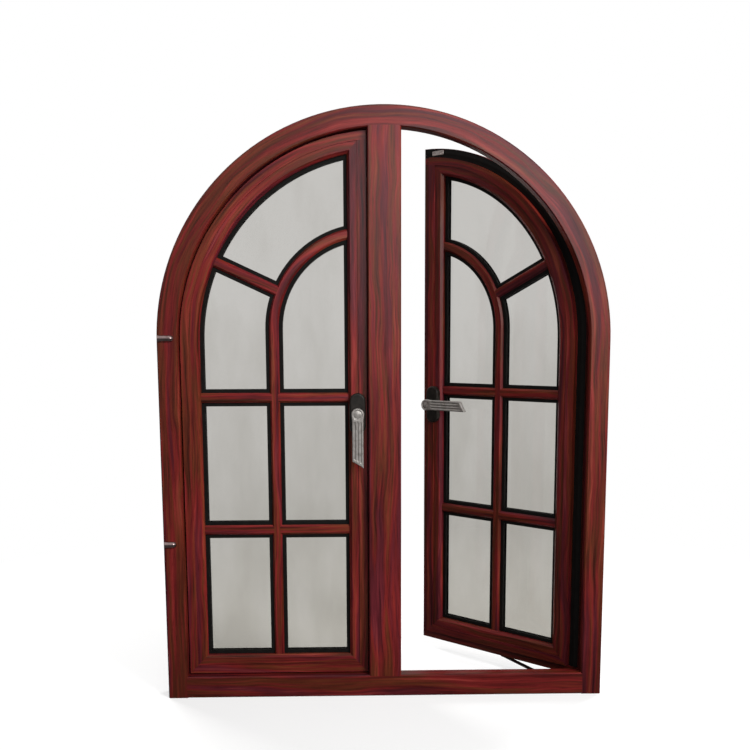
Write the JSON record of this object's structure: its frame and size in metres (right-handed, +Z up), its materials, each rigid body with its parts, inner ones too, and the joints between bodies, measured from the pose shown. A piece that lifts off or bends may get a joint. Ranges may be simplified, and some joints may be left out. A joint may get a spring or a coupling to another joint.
{
  "type": "arched top casement window",
  "caption": "Arched-top window frame with a central mullion and glazed casement sashes with curved glazing bars, lever handles and lift-off hinges; one sash stands open.",
  "frame": {"origin": "middle of the sill's underside, halfway through the frame's depth", "axes": "+X right as seen from the room, +Y out of the room through the wall, +Z up"},
  "size_m": [1, 0.3761, 1.3159],
  "materials": {
    "wood_grain_coating": "red-brown wood-grain coating on aluminium, satin",
    "pane_glass": "clear",
    "black_rubber": "matt black",
    "satin_lever": "satin",
    "black_plate": "satin black",
    "bright_steel": "brushed"
  },
  "bodies": {
    "root": {"arch_head": "wood_grain_coating", "fixing_pegs": "bright_steel", "left_arch_rail": "wood_grain_coating", "left_bottom_rail": "wood_grain_coating", "left_frame_hinges": "black_plate", "left_glazing_bead": "wood_grain_coating", "left_handle_lever": "satin_lever", "left_handle_plate": "black_plate", "left_hinge_stile": "wood_grain_coating", "left_inner_arch_bar": "wood_grain_coating", "left_jamb": "wood_grain_coating", "left_lock_plate": "bright_steel", "left_lower_crossbar": "wood_grain_coating", "left_meeting_stile": "wood_grain_coating", "left_pane_gaskets": "black_rubber", "left_panes": "pane_glass", "left_radial_bar": "wood_grain_coating", "left_sash_hinges": "black_plate", "left_upper_crossbar": "wood_grain_coating", "left_upright_bar": "wood_grain_coating", "mullion": "wood_grain_coating", "rebate_seals": "black_rubber", "right_arch_rail": "wood_grain_coating", "right_bottom_rail": "wood_grain_coating", "right_frame_hinges": "black_plate", "right_glazing_bead": "wood_grain_coating", "right_handle_lever": "satin_lever", "right_handle_plate": "black_plate", "right_hinge_stile": "wood_grain_coating", "right_inner_arch_bar": "wood_grain_coating", "right_jamb": "wood_grain_coating", "right_lock_plate": "bright_steel", "right_lower_crossbar": "wood_grain_coating", "right_meeting_stile": "wood_grain_coating", "right_pane_gaskets": "black_rubber", "right_panes": "pane_glass", "right_radial_bar": "wood_grain_coating", "right_sash_hinges": "black_plate", "right_upper_crossbar": "wood_grain_coating", "right_upright_bar": "wood_grain_coating", "sill_rail": "wood_grain_coating", "stay_arm": "bright_steel", "stay_track": "bright_steel"}
  },
  "joints": []
}
